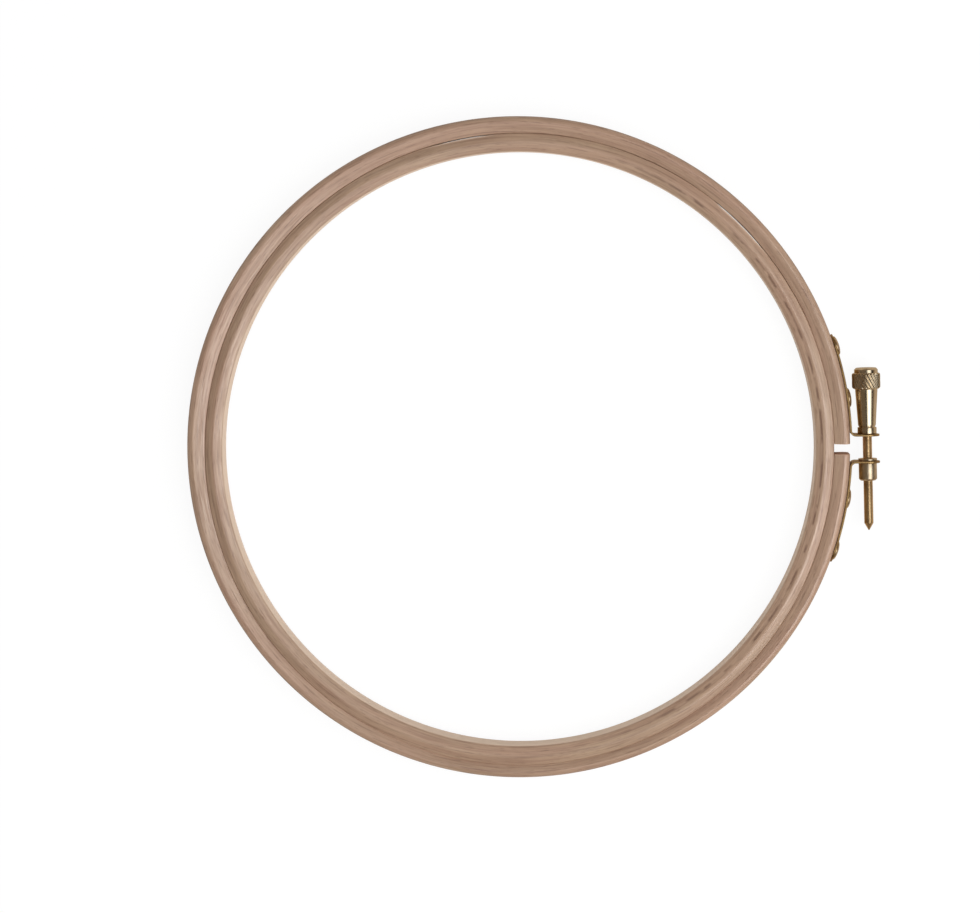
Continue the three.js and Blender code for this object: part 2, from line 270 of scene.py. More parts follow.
def rounded(profile, radius, steps=4, loop=False):
    """A profile in which each corner that turns more than 15 degrees is rounded off.

    The round begins and ends a setback away from the corner, radius x tan(half the turn) and at most
    0.45 of either side. Between them it is the quadratic curve that leans on the corner.
    """
    corner = np.array(profile, float)
    onward = np.roll(corner, -1, 0) - corner
    reach = np.linalg.norm(onward, axis=1)
    onward /= np.maximum(reach, 1e-9)[:, None]
    arriving = np.roll(onward, 1, 0)
    turn = np.arccos(np.clip((arriving * onward).sum(1), -1, 1))
    setback = np.minimum(radius * np.tan(turn / 2), 0.45 * np.minimum(reach, np.roll(reach, 1)))
    setback[turn < math.radians(15)] = 0
    if not loop:
        setback[[0, -1]] = 0
    t = np.linspace(0, 1, steps + 1)[None, :, None]
    start = (corner - arriving * setback[:, None])[:, None]
    end = (corner + onward * setback[:, None])[:, None]
    curve = (1 - t) ** 2 * start + 2 * t * (1 - t) * corner[:, None] + t**2 * end
    curve = curve.reshape(-1, 2)
    apart = np.linalg.norm(np.diff(curve, axis=0), axis=1) > 1e-6
    return curve[np.concatenate([[True], apart])]


def spread(profile, spacing, low=-np.inf, high=np.inf):
    """The profile with places added a spacing apart, where the height is between low and high."""
    along = np.concatenate([[0], np.cumsum(np.linalg.norm(np.diff(profile, axis=0), axis=1))])
    extra = np.arange(0, along[-1], spacing)
    extra = extra[np.abs(extra[:, None] - along).min(1) > spacing / 3]
    height = np.interp(extra, along, profile[:, 1])
    extra = extra[(height > low) & (height < high)]
    places = np.sort(np.concatenate([along, extra]))
    return np.stack([np.interp(places, along, profile[:, k]) for k in (0, 1)], -1)


def turned(profile, sides, origin, axis, side, relief=None, loop=False):
    """Vertices and faces of a surface turned about an axis, in millimetres.

    Row i, column j lies at origin + h_i axis + r_ij (cos a_j side + sin a_j (axis x side)). The
    profile holds (r, h), and relief(r, a, h) changes the radii. A profile starts and ends on the
    axis, or with loop closes on itself round a bore.
    """
    rows = profile if loop else profile[1:-1]
    angle = np.linspace(0, TURN, sides, endpoint=False)[None]
    radius = np.repeat(rows[:, :1], sides, axis=1)
    height = np.repeat(rows[:, 1:], sides, axis=1)
    if relief is not None:
        radius = relief(radius, angle, height)
    spoke = np.cos(angle)[..., None] * side + np.sin(angle)[..., None] * np.cross(axis, side)
    grid = origin + height[..., None] * axis + radius[..., None] * spoke
    hubs = None if loop else origin + profile[[0, -1], 1][:, None] * axis
    return closed_surface(grid, hubs)


def add_piece(name, surface, material, slot, body, *nodes):
    """A smooth mesh piece from vertices in millimetres and faces, on its body in place of nodes."""
    places, faces = surface
    mesh = bpy.data.meshes.new(name)
    mesh.from_pydata(places * MM, [], faces)
    mesh.materials.append(material)
    mesh.shade_smooth()
    piece = bpy.data.objects.new(name, mesh)
    bpy.context.scene.collection.objects.link(piece)
    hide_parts(*nodes)
    if body:
        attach(piece, body)
    return piece


def smoothstep(t):
    """0 below 0, 1 above 1 and 3 t^2 - 2 t^3 between them."""
    t = np.clip(t, 0, 1)
    return t * t * (3 - 2 * t)


def ring_section(inside, outside, inside_edge, outside_edge):
    """Closed section of a ring, anticlockwise in the radius-height plane.

    Each edge holds (width, drop, soft). A distance d from the crest it has fallen by
    drop (d / width)^1.35, and over its last soft millimetres by a quarter circle of that radius too.
    """
    halves = []
    for width, drop, soft in (outside_edge, inside_edge):
        away = width * np.sin(np.linspace(0, TURN / 4, 14))
        into = np.maximum(away - (width - soft), 0)
        fall = drop * (away / width) ** 1.35 + soft - np.sqrt(np.maximum(soft**2 - into**2, 0))
        halves.append((width - away, fall))
    (from_outside, outside_fall), (from_inside, inside_fall) = halves
    radius = np.concatenate([(outside - from_outside)[::-1], (inside + from_inside)[1:]])
    height = RING_HEIGHT / 2 - np.concatenate([outside_fall[::-1], inside_fall[1:]])
    upper = np.stack([radius, height], -1)
    section = np.concatenate([upper, upper[::-1] * (1, -1)])
    return spread(np.concatenate([section, section[:1]]), 0.4)[:-1]


def bump(angle, centre, reach):
    """A smooth hill over the angle, 1 at its centre and 0 from reach degrees away on."""
    away = np.abs((np.degrees(angle) - centre + 180) % 360 - 180)
    return smoothstep(1 - away / reach)


def hand_bent(radius, angle):
    """Radii after the strips' uneven thickness: the join wanders, and the outside stays true.

    At the join, 0.95 mm are added at 280 degrees and 0.9 mm taken off at 150 degrees. That fades to
    nothing 1.6 mm short of the outside, and to 0.6 of it at the window.
    """
    wander = 0.95 * bump(angle, 280, 75) - 0.9 * bump(angle, 150, 95)
    window = INNER_OUTSIDE - INNER_WALL
    share = np.interp(radius, [window, INNER_OUTSIDE, OUTER_OUTSIDE - 1.6], [0.6, 1, 0])
    return radius + wander * share


def round_ring(radius, angle, height):
    """Places at a radius and angle about the rings' axis and a height from their mid-height."""
    along, across = radius * np.cos(angle), radius * np.sin(angle)
    return RING_CENTRE + np.stack(np.broadcast_arrays(along, across, height), -1)


def add_node(tree, kind, inputs=None, **settings):
    """Adds a node, gives it its settings, and sets or links its inputs, named or numbered.

    A node given as an input is linked by its first output.
    """
    node = tree.nodes.new(kind)
    for name, value in settings.items():
        setattr(node, name, value)
    for name, value in (inputs or {}).items():
        if isinstance(value, bpy.types.Node):
            value = value.outputs[0]
        if isinstance(value, bpy.types.NodeSocket):
            tree.links.new(value, node.inputs[name])
        else:
            node.inputs[name].default_value = value
    return node


def empty_material(name):
    """A new node material with nothing in it but its output."""
    material = bpy.data.materials.new(name)
    material.use_nodes = True
    material.node_tree.nodes.clear()
    return material, material.node_tree


def steamed_beech(name, pale, dark, wood_sizes, seed, sawn_ends):
    """Steam-bent beech strip, sanded and left bare, pinkish brown with a dull sheen.

    The fibres run round the ring, so every pattern is a noise of (x / long, y / long, r / wide,
    z / wide), which is stretched along the ring and has no seam. Beech gives the eye soft streaks a
    millimetre or two wide, thin growth rings, and short dark ray flecks 1 to 3 mm long.
    """
    material, tree = empty_material(name)
    place = add_node(
        tree,
        "ShaderNodeMapping",
        {
            "Vector": add_node(tree, "ShaderNodeTexCoord").outputs["Object"],
            "Location": tuple(-RING_CENTRE),
            "Scale": (1 / MM,) * 3,
        },
    )
    x, y, z = add_node(tree, "ShaderNodeSeparateXYZ", {0: place}).outputs
    level = add_node(tree, "ShaderNodeVectorMath", {0: place, 1: (1, 1, 0)}, operation="MULTIPLY")
    radius = add_node(tree, "ShaderNodeVectorMath", {0: level}, operation="LENGTH").outputs["Value"]
    # the fibres drift inwards and outwards by up to a millimetre
    drift = add_node(
        tree,
        "ShaderNodeTexNoise",
        {"Vector": place, "W": seed, "Scale": 1 / 40, "Detail": 1.0},
        noise_dimensions="4D",
    )
    drift = add_node(tree, "ShaderNodeMath", {0: drift, 1: 2.0, 2: -1.0}, operation="MULTIPLY_ADD")
    grown = add_node(tree, "ShaderNodeMath", {0: radius, 1: drift}, operation="ADD")
    strip = add_node(tree, "ShaderNodeCombineXYZ", {0: x, 1: y, 2: grown})

    def along_fibres(long, wide):
        """Noise coordinates that turn a 1 x 1 pattern into one of long x wide millimetres."""
        stretch = (1 / long, 1 / long, 1 / wide)
        spot = add_node(tree, "ShaderNodeVectorMath", {0: strip, 1: stretch}, operation="MULTIPLY")
        depth = add_node(
            tree, "ShaderNodeMath", {0: z, 1: 1 / wide, 2: seed}, operation="MULTIPLY_ADD"
        )
        return {"Vector": spot, "W": depth}

    def fibres(long, wide, detail, low, high):
        """Noise along the fibres, stretched so that low becomes 0 and high becomes 1."""
        inputs = {**along_fibres(long, wide), "Scale": 1.0, "Detail": detail}
        noise = add_node(tree, "ShaderNodeTexNoise", inputs, noise_dimensions="4D")
        return add_node(tree, "ShaderNodeMapRange", {0: noise, 1: low, 2: high})

    streaks = fibres(26, 1.3, 2.0, 0.36, 0.64)
    fine = fibres(9, 0.4, 3.0, 0.34, 0.66)
    tone = add_node(tree, "ShaderNodeMath", {0: fine, 1: 0.5, 2: 0.08}, operation="MULTIPLY_ADD")
    tone = add_node(tree, "ShaderNodeMath", {0: streaks, 1: 0.34, 2: tone}, operation="MULTIPLY_ADD")
    # slow changes from a greyish to a pinkish brown
    patches = fibres(48, 3.5, 1.0, 0.38, 0.62)
    patches = add_node(tree, "ShaderNodeMath", {0: patches, 1: 0.25}, operation="MULTIPLY")
    # growth rings about 1.5 mm apart, each ending in a thin darker line that comes and goes
    rings = add_node(tree, "ShaderNodeMath", {0: grown, 1: 1.55}, operation="DIVIDE")
    rings = add_node(tree, "ShaderNodeMath", {0: z, 1: 0.12, 2: rings}, operation="MULTIPLY_ADD")
    rings = add_node(tree, "ShaderNodeMath", {0: rings}, operation="FRACT")
    line = add_node(tree, "ShaderNodeMapRange", {0: rings, 1: 0.7, 2: 0.95})
    dashes = fibres(5, 0.9, 2.0, 0.5, 0.62)
    dashes = add_node(tree, "ShaderNodeMath", {0: dashes, 1: 0.5, 2: 0.12}, operation="MULTIPLY_ADD")
    line = add_node(tree, "ShaderNodeMath", {0: line, 1: dashes}, operation="MULTIPLY")
    # ray flecks: cells of 2.2 x 0.35 mm, of which about a third hold a fleck
    cells = add_node(
        tree,
        "ShaderNodeTexVoronoi",
        {**along_fibres(2.2, 0.35), "Scale": 1.0, "Randomness": 1.0},
        voronoi_dimensions="4D",
    )
    held = {0: cells.outputs["Color"], 1: 0.45, 2: 0.9, 4: 0.5}
    held = add_node(tree, "ShaderNodeMapRange", held)
    flecks = {0: cells.outputs["Distance"], 1: 0.55, 2: 0.2}
    flecks = add_node(tree, "ShaderNodeMapRange", flecks)
    flecks = add_node(tree, "ShaderNodeMath", {0: flecks, 1: held}, operation="MULTIPLY")
    layers = [
        (tone, dark),
        (patches, wood_sizes.rosy),
        (line, wood_sizes.fleck),
        (flecks, wood_sizes.fleck),
    ]
    if sawn_ends:
        # end grain on the two sawn ends, which lie half the end gap from the X axis, and partly
        # painted light: it is made paler to make up for the shade on the end that faces away from the
        # softbox
        end = add_node(tree, "ShaderNodeMath", {0: y}, operation="ABSOLUTE")
        end = {0: end, 1: END_GAP / 2 + 0.25, 2: END_GAP / 2 + 0.02, 4: 0.8}
        end = add_node(tree, "ShaderNodeMapRange", end)
        at_screw = add_node(tree, "ShaderNodeMath", {0: x, 1: 0.0}, operation="GREATER_THAN")
        end = add_node(tree, "ShaderNodeMath", {0: end, 1: at_screw}, operation="MULTIPLY")
        layers.append((end, wood_sizes.lit_end_grain))
    else:
        # one growth ring surfaces on the crest towards the screw, as a row of dark dashes
        crest = {0: drift, 1: 0.3, 2: radius}
        crest = add_node(tree, "ShaderNodeMath", crest, operation="MULTIPLY_ADD")
        crest = {0: crest, 1: INNER_OUTSIDE - 3.4}
        crest = add_node(tree, "ShaderNodeMath", crest, operation="SUBTRACT")
        crest = add_node(tree, "ShaderNodeMath", {0: crest}, operation="ABSOLUTE")
        crest = add_node(tree, "ShaderNodeMapRange", {0: crest, 1: 0.45, 2: 0.12})
        at_screw = add_node(tree, "ShaderNodeMapRange", {0: x, 1: 20.0, 2: 50.0, 4: 0.85})
        crest = add_node(tree, "ShaderNodeMath", {0: crest, 1: at_screw}, operation="MULTIPLY")
        dashes = fibres(6, 30, 2.0, 0.47, 0.56)
        crest = add_node(tree, "ShaderNodeMath", {0: crest, 1: dashes}, operation="MULTIPLY")
        layers.append((crest, wood_sizes.fleck))
        # painted light: the wall round the window is painted paler for the light the white floor
        # throws on it, and the join edge for the light that comes through between the rings
        painted_light = add_node(tree, "ShaderNodeAttribute", attribute_name="painted_light").outputs["Fac"]
        painted_light = add_node(tree, "ShaderNodeMath", {0: painted_light, 1: 0.85}, operation="MULTIPLY")
        layers.append((painted_light, wood_sizes.bare))
    wood = (*pale, 1)
    for share, colour in layers:
        inputs = {0: share, 6: wood, 7: (*colour, 1)}
        wood = add_node(tree, "ShaderNodeMix", inputs, data_type="RGBA").outputs[2]

    # the late wood and the flecks lie a little lower than the early wood
    pits = add_node(tree, "ShaderNodeMath", {0: fine, 1: -1.0}, operation="MULTIPLY")
    pits = add_node(tree, "ShaderNodeMath", {0: flecks, 1: -0.8, 2: pits}, operation="MULTIPLY_ADD")
    relief = {"Height": pits, "Distance": 0.05 * MM, "Strength": 0.5}
    relief = add_node(tree, "ShaderNodeBump", relief)
    # the tops are sanded smooth, and the upright walls are left rough
    facing = add_node(tree, "ShaderNodeTexCoord").outputs["Normal"]
    facing = add_node(tree, "ShaderNodeSeparateXYZ", {0: facing}).outputs["Z"]
    facing = add_node(tree, "ShaderNodeMath", {0: facing}, operation="ABSOLUTE")
    sanded = add_node(tree, "ShaderNodeMapRange", {0: facing, 1: 0.1, 2: 0.6, 3: 0.9, 4: 0.31})
    rough = add_node(tree, "ShaderNodeMath", {0: fine, 1: 0.22, 2: sanded}, operation="MULTIPLY_ADD")
    surface = add_node(
        tree,
        "ShaderNodeBsdfPrincipled",
        {
            "Base Color": wood,
            "Roughness": rough,
            "Normal": relief,
            "IOR": 1.65,
            "Specular IOR Level": 1.0,
        },
    )
    add_node(tree, "ShaderNodeOutputMaterial", {0: surface})
    return material


def brass(name, colour, tarnish, roughness, marks, axis, origin, covered):
    """Brass, metal with a clear yellow reflection under a thin uneven brown film.

    marks is the distance in millimetres between the fine tool marks, which repeat along axis: rings
    on turned pieces, lines on rolled strip. They are 20 times as long as they are apart. covered is
    the share of the film where it is thickest.
    """
    material, tree = empty_material(name)
    place = add_node(
        tree,
        "ShaderNodeMapping",
        {
            "Vector": add_node(tree, "ShaderNodeTexCoord").outputs["Object"],
            "Location": tuple(-np.array(origin)),
            "Scale": (1 / MM,) * 3,
        },
    )
    stretch = tuple(np.where(np.array(axis) > 0, 1 / marks, 0.05 / marks))
    across = add_node(tree, "ShaderNodeVectorMath", {0: place, 1: stretch}, operation="MULTIPLY")
    lines = add_node(tree, "ShaderNodeTexNoise", {"Vector": across, "Scale": 1.0, "Detail": 2.0})
    film = add_node(tree, "ShaderNodeTexNoise", {"Vector": place, "Scale": 0.3, "Detail": 4.0})
    cover = add_node(tree, "ShaderNodeMapRange", {0: film, 1: 0.42, 2: 0.72, 4: covered})
    metal = {0: cover, 6: (*colour, 1), 7: (*tarnish, 1)}
    metal = add_node(tree, "ShaderNodeMix", metal, data_type="RGBA").outputs[2]
    rough = {0: lines, 1: 0.25, 2: 0.75, 3: roughness * 0.9, 4: roughness * 1.15}
    rough = add_node(tree, "ShaderNodeMapRange", rough)
    relief = {"Height": lines, "Distance": 0.01 * MM, "Strength": 0.12}
    relief = add_node(tree, "ShaderNodeBump", relief)
    surface = add_node(
        tree,
        "ShaderNodeBsdfPrincipled",
        {"Base Color": metal, "Metallic": 1.0, "Roughness": rough, "Normal": relief},
    )
    add_node(tree, "ShaderNodeOutputMaterial", {0: surface})
    return material


class HOOP_OT_outer_ring(bpy.types.Operator):
    """Add the outer ring, one bent strip that is open at the screw"""

    bl_idname = "hoop.outer_ring"
    bl_label = "Outer Ring"

    def execute(self, context):
        wood = context.scene.hoop_wood
        inside = OUTER_OUTSIDE - OUTER_WALL
        outside_edge = np.array([wood.outer_width, wood.outer_drop, wood.outer_round]) / MM
        join_width = OUTER_WALL * MM - wood.outer_width
        join_edge = np.array([join_width, wood.join_drop, wood.join_round]) / MM
        section = ring_section(inside, OUTER_OUTSIDE, join_edge, outside_edge)
        # from a sawn end on, the section grows by a quarter round of the end's edge
        soft = wood.end_round / MM
        swing = np.linspace(TURN / 4, 0, 5)
        inset = soft * (1 - np.cos(swing))
        end_y = END_GAP / 2 + soft * (1 - np.sin(swing))
        # then come even sections, with closer ones where the rivets are
        first = math.radians(1.4)
        close = 2.8
        rivets = np.array([NEAR_RIVET, FAR_RIVET, TURN - NEAR_RIVET, TURN - FAR_RIVET])
        round_rivets = (rivets[:, None] + np.linspace(-close, close, 21) / inside).ravel()
        even = np.linspace(first, TURN - first, 460)
        even = even[np.abs(even[:, None] - rivets).min(1) > (close + 0.3) / inside]
        middle = np.sort(np.concatenate([even, round_rivets]))[::-1]
        shrink = np.concatenate([inset, np.zeros(len(middle)), inset[::-1]])[:, None]
        core = OUTER_OUTSIDE - OUTER_WALL / 2
        radius = core + (section[:, 0] - core) * (1 - shrink / (OUTER_WALL / 2))
        height = section[:, 1] * (1 - shrink / (RING_HEIGHT / 2))
        angle = np.concatenate(
            [
                TURN - np.arcsin(end_y[:, None] / radius[:5]),
                np.repeat(middle[:, None], radius.shape[1], axis=1),
                np.arcsin(end_y[::-1, None] / radius[-5:]),
            ]
        )
        # each rivet's tail is clinched in a round sink in the inner wall
        sink_radius = 2.35
        off = np.abs(angle[..., None] - rivets).min(-1) * inside
        sink = smoothstep((sink_radius - np.hypot(off, height)) / 0.3) * wood.clinch_depth / MM
        radius = hand_bent(radius, angle) + sink * (section[:, 0] < inside + 0.01)
        grid = round_ring(radius, angle, height)
        hubs = grid[[0, -1]].mean(1)
        material = steamed_beech(
            "outer_ring_beech", wood.outer_pale, wood.outer_dark, wood, seed=3.0, sawn_ends=True
        )
        ring = add_piece(
            "outer_ring",
            closed_surface(grid, hubs),
            material,
            "outer_ring_wood",
            None,
            "outer_ring_upper",
            "outer_ring_lower",
        )
        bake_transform(ring)
        return {"FINISHED"}


class HOOP_OT_inner_ring(bpy.types.Operator):
    """Add the inner ring, which holds the cloth"""

    bl_idname = "hoop.inner_ring"
    bl_label = "Inner Ring"

    def execute(self, context):
        wood = context.scene.hoop_wood
        window = INNER_OUTSIDE - INNER_WALL
        clamp_edge = np.array([wood.clamp_width, wood.clamp_drop, wood.join_round]) / MM
        window_width = INNER_WALL * MM - wood.clamp_width
        window_edge = np.array([window_width, wood.window_drop, wood.window_round]) / MM
        section = ring_section(window, INNER_OUTSIDE, window_edge, clamp_edge)
        angle = np.linspace(0, TURN, 480, endpoint=False)[::-1, None]
        # it presses on the outer ring, but light comes through near 45 and 100 degrees, and the join
        # is dark near 34 and 63 degrees
        light = smoothstep(1.6 * (bump(angle, 45, 9) + 0.8 * bump(angle, 100, 9)))
        dark = smoothstep(2 * (bump(angle, 34, 7) + bump(angle, 63, 10)))
        swell = 0.13 - 0.24 * np.maximum(light, 0.3 * dark)
        swell = swell * smoothstep(section[:, 0] - INNER_OUTSIDE + 1)
        radius = hand_bent(section[:, 0], angle) + swell
        grid = round_ring(radius, angle, section[:, 1])
        # painted light: the wall round the window is painted paler for the light from the white floor,
        # and the join edge is painted paler still where light comes through
        painted_light = smoothstep((window + 0.35 - section[:, 0]) / 0.3)
        painted_leak_light = 0.8 * light * smoothstep((section[:, 0] - INNER_OUTSIDE + 0.5) / 0.2)
        painted_light = np.maximum(painted_light, painted_leak_light)
        material = steamed_beech(
            "inner_ring_beech", wood.inner_pale, wood.inner_dark, wood, seed=11.0, sawn_ends=False
        )
        ring = add_piece(
            "inner_hoop",
            closed_surface(grid),
            material,
            "inner_ring_wood",
            "inner_ring",
            "inner_ring",
        )
        face = ring.data.attributes.new("painted_light", "FLOAT", "POINT")
        face.data.foreach_set("value", painted_light.astype(np.float32).ravel())
        return {"FINISHED"}


def strap_line(s, lug_end, brass_sizes):
    """Places seen along Z at lengths s along the middle of the strap, and the lengths at angles.

    From the lug's end it runs straight to the bend, turns round the bend's centre, and follows the
    outer ring at the strap's middle radius. The second result gives s for an angle on the ring.
    """
    sheet = brass_sizes.sheet / MM
    bend = brass_sizes.bend / MM
    hold = OUTER_OUTSIDE + STRAP_SEAT + sheet / 2
    centre_y = LUG_INNER + sheet + bend
    centre_x = math.sqrt((hold + sheet / 2 + bend) ** 2 - centre_y**2)
    begin = math.atan2(centre_y, centre_x)
    turn_radius = bend + sheet / 2
    straight = lug_end - centre_x
    turning = turn_radius * (TURN / 4 - begin)
    swing = 0.75 * TURN - np.clip((s - straight) / turn_radius, 0, TURN / 4 - begin)
    on_ring = begin + np.maximum(s - straight - turning, 0) / hold
    ahead = np.maximum(straight - s, 0)
    bend_x = centre_x + turn_radius * np.cos(swing) + ahead
    on_bend = np.stack([bend_x, centre_y + turn_radius * np.sin(swing)], -1)
    along = np.stack([np.cos(on_ring), np.sin(on_ring)], -1)
    places = np.where((s > straight + turning)[..., None], hold * along, on_bend)
    return places, lambda angle: straight + turning + (angle - begin) * hold


def hole_patch(s, hole, half, free_side):
    """Lengths and widths of a grid that widens from a hole to the strap's outline.

    Row 0 is the hole's circle. The last row is the square of the strap's width, with a half circle in
    its place on the strap's free side, which is -1 or +1 along its length, or 0 where there is none.
    """
    angle = np.linspace(0, TURN, 48, endpoint=False)
    along, across = np.cos(angle), np.sin(angle)
    outline = half / np.maximum(np.abs(along), np.abs(across))
    outline = np.where(along * free_side > 0, half, outline)
    t = np.linspace(0, 1, 5)[:, None]
    radius = (1 - t) * hole + t * outline
    return s + radius * along, radius * across


class HOOP_OT_straps(bpy.types.Operator):
    """Add the two brass straps with their lugs"""

    bl_idname = "hoop.straps"
    bl_label = "Straps"

    def execute(self, context):
        sizes = context.scene.hoop_brass
        half = STRAP_HALF_WIDTH
        rivet_hole = 1.4
        bush_hole = 2.3
        across = half * np.tan(np.linspace(-TURN / 8, TURN / 8, 13))
        # strip rolled to its thickness: fine lines along it blur what it mirrors, and it has dulled
        material = brass(
            "rolled_brass_strip",
            sizes.strip,
            sizes.tarnish,
            roughness=0.42,
            marks=0.09,
            axis=(0, 0, 1),
            origin=RING_CENTRE,
            covered=0.55,
        )
        for side, screw_hole in (("upper", ROD_RADIUS + ROD_CLEARANCE), ("lower", bush_hole)):
            node = f"{side}_bracket"
            lug_end = node_box(node)[1][0] - RING_CENTRE[0]
            length_at = strap_line(np.zeros(1), lug_end, sizes)[1]
            near, far = length_at(NEAR_RIVET), length_at(FAR_RIVET)
            parts = [
                hole_patch(half, screw_hole, half, -1),
                np.meshgrid(np.linspace(2 * half, near - half, 40), across, indexing="ij"),
                hole_patch(near, rivet_hole, half, 0),
                np.meshgrid(np.linspace(near + half, far - half, 16), across, indexing="ij"),
                hole_patch(far, rivet_hole, half, 1),
            ]
            places, faces, count = [], [], 0
            for s, v in parts:
                flat = strap_line(s, lug_end, sizes)[0]
                places.append(np.concatenate([flat, v[..., None]], -1).reshape(-1, 3))
                wrap = s.shape[1] == 48
                faces.append(quads(*s.shape, wrap_columns=wrap) + count)
                count += s.size
            turn_over = (1, 1, 1) if side == "upper" else (1, -1, -1)
            surface = np.concatenate(places) * turn_over + RING_CENTRE, np.concatenate(faces)
            strap = add_piece(
                f"{side}_strap", surface, material, "bracket_brass", f"{side}_half", node
            )
            sheet = bmesh.new()
            sheet.from_mesh(strap.data)
            bmesh.ops.remove_doubles(sheet, verts=sheet.verts, dist=1e-6)
            sheet.to_mesh(strap.data)
            sheet.free()
            wall = strap.modifiers.new("sheet", "SOLIDIFY")
            wall.thickness = sizes.sheet
            wall.offset = 0
            wall.use_even_offset = True
            edge = strap.modifiers.new("edge", "BEVEL")
            edge.width = sizes.edge
            edge.segments = 2
            edge.limit_method = "ANGLE"
            edge.angle_limit = math.radians(50)
            edge.harden_normals = True
        return {"FINISHED"}


class HOOP_OT_rivets(bpy.types.Operator):
    """Add the four rivets that hold the straps"""

    bl_idname = "hoop.rivets"
    bl_label = "Rivets"

    def execute(self, context):
        sizes = context.scene.hoop_brass
        seat = OUTER_OUTSIDE + STRAP_SEAT + sizes.sheet / MM + 0.01
        tail = OUTER_OUTSIDE - OUTER_WALL + 0.4
        head_radius = 2.9
        head_edge = 0.14
        dome_height = 0.8
        shank_radius = 1.2
        rolled_radius = 1.9
        swing = np.linspace(0, TURN / 4, 10)
        dome_rise = head_edge + dome_height * np.sin(swing)
        dome = np.stack([head_radius * np.cos(swing), seat + dome_rise], -1)
        # the hollow end of the tail is rolled outwards like an eyelet
        corners = [
            (0, tail + 0.5),
            (0.6, tail + 0.5),
            (0.85, tail + 0.05),
            (rolled_radius, tail + 0.05),
            (rolled_radius + 0.05, tail + 0.65),
            (shank_radius, tail + 0.7),
            (shank_radius, seat),
            (head_radius, seat),
            tuple(dome[0]),
        ]
        profile = np.concatenate([rounded(corners, 0.25)[:-1], dome])
        profile[-1, 0] = 0
        # wire headed cold in a die: smooth domes, each with one small soft highlight
        material = brass(
            "domed_rivet_brass",
            sizes.rivet,
            sizes.tarnish,
            roughness=0.3,
            marks=0.3,
            axis=(1, 1, 1),
            origin=RING_CENTRE,
            covered=0.5,
        )
        for node, angle in RIVETS.items():
            axis = np.array([math.cos(angle), math.sin(angle), 0.0])
            surface = turned(profile, 40, RING_CENTRE, axis, UP)
            body = node.split("_")[0] + "_half"
            add_piece(node + "_head", surface, material, "rivet_brass", body, node)
        return {"FINISHED"}


class HOOP_OT_knob(bpy.types.Operator):
    """Add the turned and knurled knob"""

    bl_idname = "hoop.knob"
    bl_label = "Knob"

    def execute(self, context):
        sizes = context.scene.hoop_brass
        # heights are from the collar's seat on the lug, which the collar's underside nearly touches
        tip = KNOB_RADIUS
        bore = ROD_RADIUS + 0.02
        socket = ROD_IN_KNOB + 0.1
        underside = -0.08
        collar_radius = 2.85
        collar_top = 1.8
        neck_radius = 2.45
        barrel_low = 2.3
        barrel_low_radius = 2.65
        barrel_top_radius = 3.375
        drum_low = 13.4
        drum_top = 18.1
        crown_radius = 3.55
        crown_top = 19.7
        crown_slope = 0.55
        corners = [
            (0, socket),
            (bore, socket),
            (bore, underside),
            (collar_radius, underside),
            (collar_radius, collar_top),
            (neck_radius, collar_top + 0.05),
            (neck_radius, barrel_low - 0.1),
            (barrel_low_radius, barrel_low),
            (barrel_top_radius, drum_low - 0.05),
            (tip - 0.45, drum_low),
            (tip, drum_low + 0.45),
            (tip, drum_top - 0.35),
            (tip - 0.3, drum_top),
            (crown_radius, drum_top),
            (crown_radius, crown_top - crown_slope),
            (crown_radius - crown_slope, crown_top),
            (0, crown_top),
        ]
        profile = spread(rounded(corners, 0.14), 0.16, drum_low - 0.2, drum_top + 0.1)
        lean = math.tan(sizes.knurl_lean) / tip
        depth = sizes.knurl_depth / MM

        def knurl(radius, angle, height):
            """Teeth on the drum, where the radius is at most tip - depth x groove.

            groove is 1.5 times a zigzag between 0 and 1, less 0.3, and at least 0 and at most 1.
            """
            phase = sizes.knurl_teeth * (angle + lean * height) / TURN
            groove = np.clip(1.5 * np.abs(2 * (phase % 1) - 1) - 0.3, 0, 1)
            on_drum = (height > drum_low - 0.1) & (height < drum_top + 0.05)
            on_drum &= radius > crown_radius + 0.05
            return np.where(on_drum, np.minimum(radius, tip - depth * groove), radius)

        origin = SCREW + COLLAR_SEAT * ALONG_SCREW
        surface = turned(profile, 288, origin, ALONG_SCREW, UP, relief=knurl)
        # turned bright, and kept bright by the fingers: a narrow highlight and hardly any film
        material = brass(
            "turned_knob_brass",
            sizes.turned,
            sizes.tarnish,
            roughness=0.22,
            marks=0.12,
            axis=(0, 1, 0),
            origin=SCREW,
            covered=0.15,
        )
        add_piece("knurled_knob", surface, material, "screw_brass", "clamp_screw", "knob")
        return {"FINISHED"}


